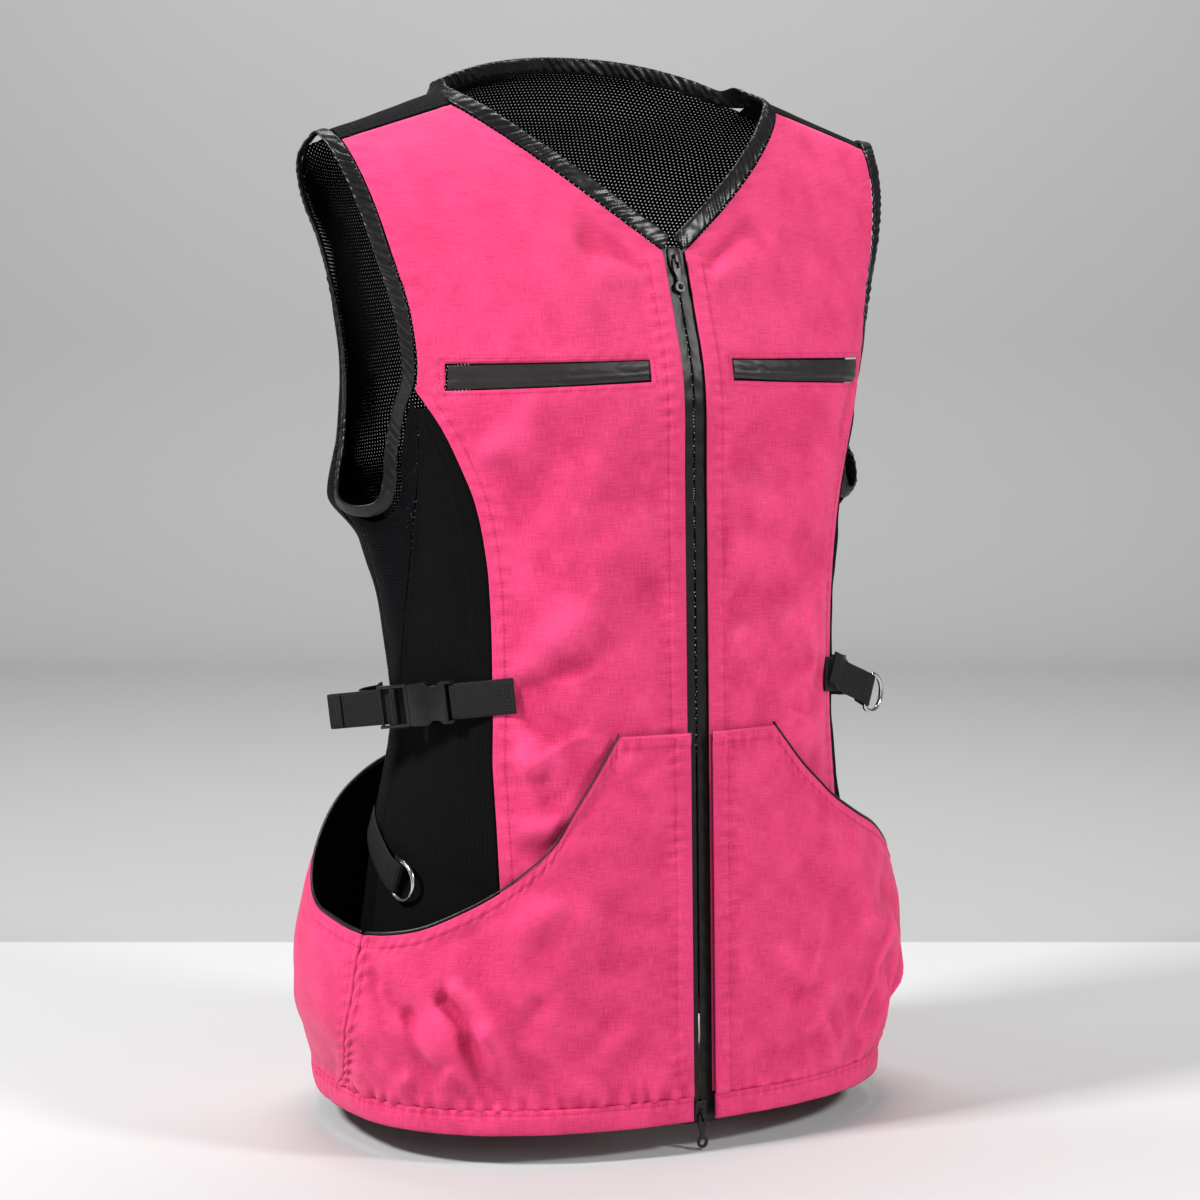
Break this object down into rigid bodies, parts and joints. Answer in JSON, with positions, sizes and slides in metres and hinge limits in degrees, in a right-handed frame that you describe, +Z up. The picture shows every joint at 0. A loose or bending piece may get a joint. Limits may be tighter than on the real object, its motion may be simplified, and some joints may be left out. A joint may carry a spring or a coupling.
{
  "type": "sleeveless field vest",
  "caption": "Sleeveless zip-front field vest with mesh back, wrap-around open pouch, chest pocket welts, adjustable waist straps with side-release buckles and clip rings.",
  "frame": {"origin": "centre of the neck opening, level with the neck ends of the shoulder seams", "axes": "+Z up along the body, -Y out of the chest (front), +X to the wearer's left"},
  "size_m": [0.4778, 0.3525, 0.7751],
  "materials": {
    "pink_cloth": "plain-weave polyester, soft matt sheen",
    "side_knit": "ribbed herringbone knit",
    "mesh": "open mesh knit",
    "satin": "satin bias binding",
    "webbing": "25 mm woven webbing",
    "lining": "smooth black lining",
    "zip_tape": "knitted zip tape",
    "zip_coil": "nylon coil",
    "black_plastic": "moulded, satin",
    "nickel": "nickel-plated wire, polished"
  },
  "bodies": {
    "vest": {"front_panel_right": "pink_cloth", "chest_welt_right": "lining", "chest_pocket_right": "lining", "front_panel_left": "pink_cloth", "chest_welt_left": "lining", "chest_pocket_left": "lining", "knit_side_right": "side_knit", "mesh_side_right": "mesh", "knit_side_left": "side_knit", "mesh_side_left": "mesh", "back_panel": "mesh", "shoulder_yoke_right": "side_knit", "shoulder_yoke_left": "side_knit", "neck_binding": "satin", "armhole_binding_right": "satin", "armhole_binding_left": "satin", "pouch_front_right": "pink_cloth", "pouch_piping_right": "satin", "pouch_front_left": "pink_cloth", "pouch_piping_left": "satin", "pouch_back": "pink_cloth", "pouch_piping_back": "satin", "hem_band": "pink_cloth", "zipper_tape_right": "zip_tape", "zipper_coil_right": "zip_coil", "top_stop_right": "black_plastic", "zipper_tape_left": "zip_tape", "zipper_coil_left": "zip_coil", "top_stop_left": "black_plastic", "front_strap_right": "webbing", "buckle_socket_right": "black_plastic", "rear_strap_right": "webbing", "front_strap_left": "webbing", "buckle_socket_left": "black_plastic", "rear_strap_left": "webbing", "hip_ring_tab_right": "webbing", "hip_ring_tab_left": "webbing", "waist_ring_tab_left": "webbing"},
    "slider_top": {"slider_top": "black_plastic"},
    "pull_top": {"pull_top": "black_plastic"},
    "slider_bottom": {"slider_bottom": "black_plastic"},
    "pull_bottom": {"pull_bottom": "black_plastic"},
    "buckle_plug_right": {"buckle_plug_right": "black_plastic"},
    "buckle_arm_upper_right": {"buckle_arm_upper_right": "black_plastic"},
    "buckle_arm_lower_right": {"buckle_arm_lower_right": "black_plastic"},
    "buckle_plug_left": {"buckle_plug_left": "black_plastic"},
    "buckle_arm_upper_left": {"buckle_arm_upper_left": "black_plastic"},
    "buckle_arm_lower_left": {"buckle_arm_lower_left": "black_plastic"},
    "hip_ring_right": {"hip_ring_right": "nickel"},
    "hip_ring_left": {"hip_ring_left": "nickel"},
    "waist_ring_left": {"waist_ring_left": "nickel"}
  },
  "joints": [
    {"name": "slider_top_slide", "type": "slide", "parent": "vest", "child": "slider_top", "axis": [0, -0.3304, -0.9439], "range_m": [0, 0.05]},
    {"name": "slider_bottom_slide", "type": "slide", "parent": "vest", "child": "slider_bottom", "axis": [0, 0.0242, 0.9997], "range_m": [0, 0.4]},
    {"name": "pull_top_hinge", "type": "hinge", "parent": "slider_top", "child": "pull_top", "pos_m": [0, -0.09791, -0.10832], "axis": [-1, 0, 0], "range_deg": [0, 150]},
    {"name": "pull_bottom_hinge", "type": "hinge", "parent": "slider_bottom", "child": "pull_bottom", "pos_m": [0, -0.13768, -0.71018], "axis": [-1, 0, 0], "range_deg": [0, 150]},
    {"name": "buckle_plug_right_slide", "type": "slide", "parent": "vest", "child": "buckle_plug_right", "axis": [-0.595, 0.7933, -0.1289], "range_m": [0, 0.03], "deforming": ["rear_strap_right"]},
    {"name": "buckle_arm_upper_right_hinge", "type": "hinge", "parent": "buckle_plug_right", "child": "buckle_arm_upper_right", "pos_m": [-0.17904, -0.03711, -0.40974], "axis": [0.8, 0.6, 0], "range_deg": [0, 6], "stiffness_Nm_per_rad": 0.05},
    {"name": "buckle_arm_lower_right_hinge", "type": "hinge", "parent": "buckle_plug_right", "child": "buckle_arm_lower_right", "pos_m": [-0.17779, -0.03878, -0.4258], "axis": [0.8, 0.6, 0], "range_deg": [-6, 0], "stiffness_Nm_per_rad": 0.05},
    {"name": "buckle_plug_left_slide", "type": "slide", "parent": "vest", "child": "buckle_plug_left", "axis": [0.595, 0.7933, -0.1289], "range_m": [0, 0.03], "deforming": ["rear_strap_left"]},
    {"name": "buckle_arm_upper_left_hinge", "type": "hinge", "parent": "buckle_plug_left", "child": "buckle_arm_upper_left", "pos_m": [0.17904, -0.03711, -0.40974], "axis": [0.8, -0.6, 0], "range_deg": [0, 6], "stiffness_Nm_per_rad": 0.05},
    {"name": "buckle_arm_lower_left_hinge", "type": "hinge", "parent": "buckle_plug_left", "child": "buckle_arm_lower_left", "pos_m": [0.17779, -0.03878, -0.4258], "axis": [0.8, -0.6, 0], "range_deg": [-6, 0], "stiffness_Nm_per_rad": 0.05},
    {"name": "hip_ring_right_swing", "type": "hinge", "parent": "vest", "child": "hip_ring_right", "pos_m": [-0.18471, -0.02716, -0.541], "axis": [-0.0665, 0.385, -0.9205], "range_deg": [0, 150]},
    {"name": "hip_ring_left_swing", "type": "hinge", "parent": "vest", "child": "hip_ring_left", "pos_m": [0.18471, -0.02716, -0.541], "axis": [-0.0665, -0.385, 0.9205], "range_deg": [0, 150]},
    {"name": "waist_ring_left_swing", "type": "hinge", "parent": "vest", "child": "waist_ring_left", "pos_m": [0.1815, -0.071, -0.426], "axis": [-0.3607, -0.1764, -0.9158], "range_deg": [0, 150]}
  ],
  "couplings": [
    {"joint": "buckle_arm_lower_right_hinge", "follows": "buckle_arm_upper_right_hinge", "ratio": -1},
    {"joint": "buckle_arm_lower_left_hinge", "follows": "buckle_arm_upper_left_hinge", "ratio": -1}
  ]
}
